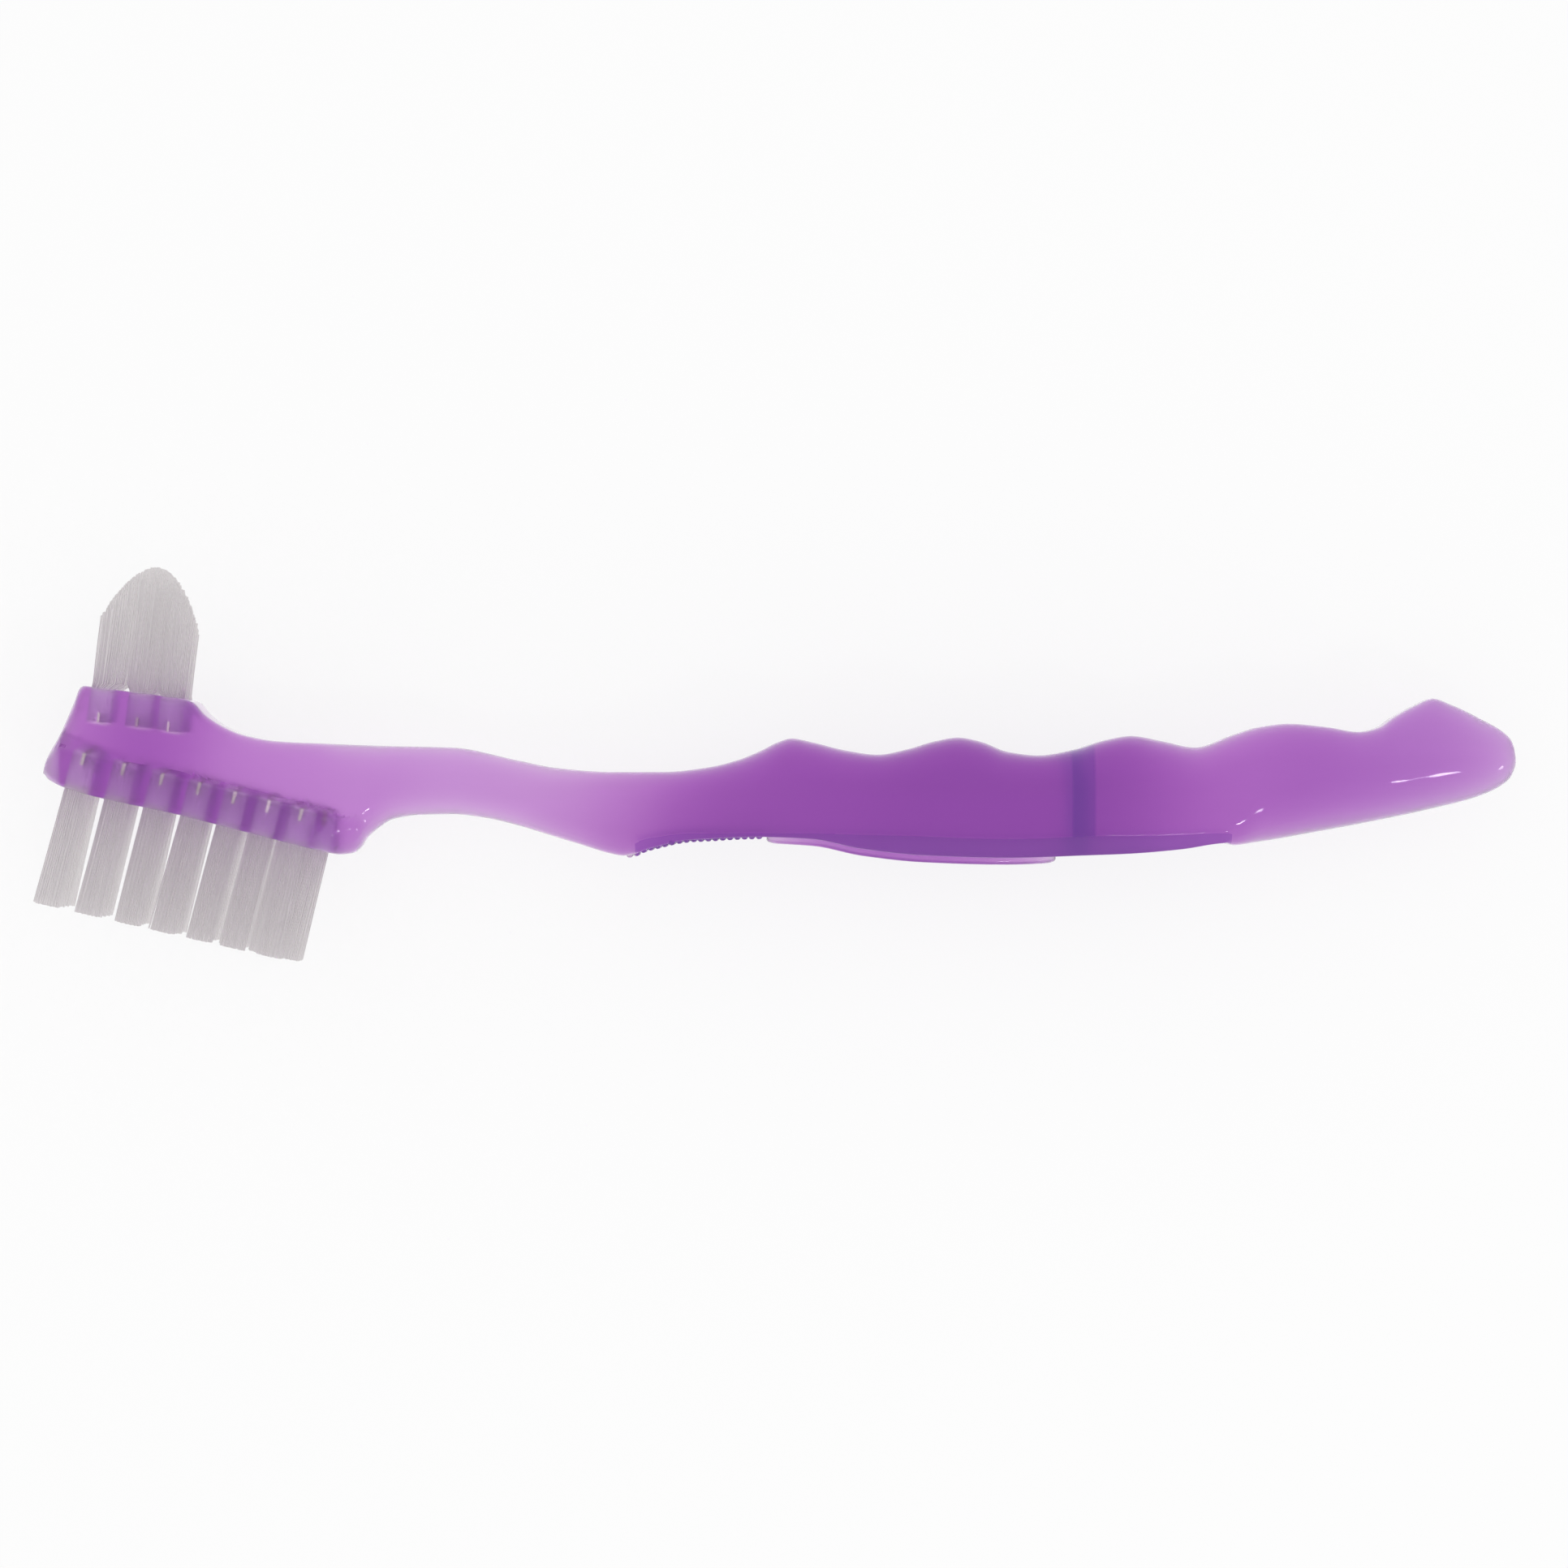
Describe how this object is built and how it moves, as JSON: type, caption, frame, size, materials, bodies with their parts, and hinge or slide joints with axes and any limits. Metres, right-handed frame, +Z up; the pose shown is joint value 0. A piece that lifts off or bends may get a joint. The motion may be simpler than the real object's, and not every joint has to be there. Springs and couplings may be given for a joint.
{
  "type": "denture brush",
  "caption": "See-through violet cleaning brush with a waved grip, a slim neck, a wide flat brush below the head and a pointed brush above it.",
  "frame": {"origin": "On the flat flank of the grip, where the brush lies on a table, 42.5 percent of the way along the grip from the neck.", "axes": "+X along the handle from the head to the tail, +Y across it from the wide brush to the pointed brush, +Z up from the table, square to the flank."},
  "size_m": [0.1746, 0.0468, 0.018],
  "materials": {
    "violet_plastic": "see-through violet, polished, from a smooth mould",
    "white_nylon": "semi-matt white nylon bristles"
  },
  "bodies": {
    "root": {"handle_moulding": "violet_plastic", "wide_brush_tuft_r1_c1": "white_nylon", "wide_brush_tuft_r1_c2": "white_nylon", "wide_brush_tuft_r1_c3": "white_nylon", "wide_brush_tuft_r1_c4": "white_nylon", "wide_brush_tuft_r1_c5": "white_nylon", "wide_brush_tuft_r1_c6": "white_nylon", "wide_brush_tuft_r1_c7": "white_nylon", "wide_brush_tuft_r2_c1": "white_nylon", "wide_brush_tuft_r2_c2": "white_nylon", "wide_brush_tuft_r2_c3": "white_nylon", "wide_brush_tuft_r2_c4": "white_nylon", "wide_brush_tuft_r2_c5": "white_nylon", "wide_brush_tuft_r2_c6": "white_nylon", "wide_brush_tuft_r2_c7": "white_nylon", "wide_brush_tuft_r2_c8": "white_nylon", "wide_brush_tuft_r3_c1": "white_nylon", "wide_brush_tuft_r3_c2": "white_nylon", "wide_brush_tuft_r3_c3": "white_nylon", "wide_brush_tuft_r3_c4": "white_nylon", "wide_brush_tuft_r3_c5": "white_nylon", "wide_brush_tuft_r3_c6": "white_nylon", "wide_brush_tuft_r3_c7": "white_nylon", "wide_brush_tuft_r3_c8": "white_nylon", "wide_brush_tuft_r4_c1": "white_nylon", "wide_brush_tuft_r4_c2": "white_nylon", "wide_brush_tuft_r4_c3": "white_nylon", "wide_brush_tuft_r4_c4": "white_nylon", "wide_brush_tuft_r4_c5": "white_nylon", "wide_brush_tuft_r4_c6": "white_nylon", "wide_brush_tuft_r4_c7": "white_nylon", "pointed_brush_tuft_r1_c1": "white_nylon", "pointed_brush_tuft_r1_c2": "white_nylon", "pointed_brush_tuft_r1_c3": "white_nylon", "pointed_brush_tuft_r2_c1": "white_nylon", "pointed_brush_tuft_r2_c2": "white_nylon", "pointed_brush_tuft_r2_c3": "white_nylon", "pointed_brush_tuft_r3_c1": "white_nylon", "pointed_brush_tuft_r3_c2": "white_nylon", "pointed_brush_tuft_r3_c3": "white_nylon"}
  },
  "joints": []
}
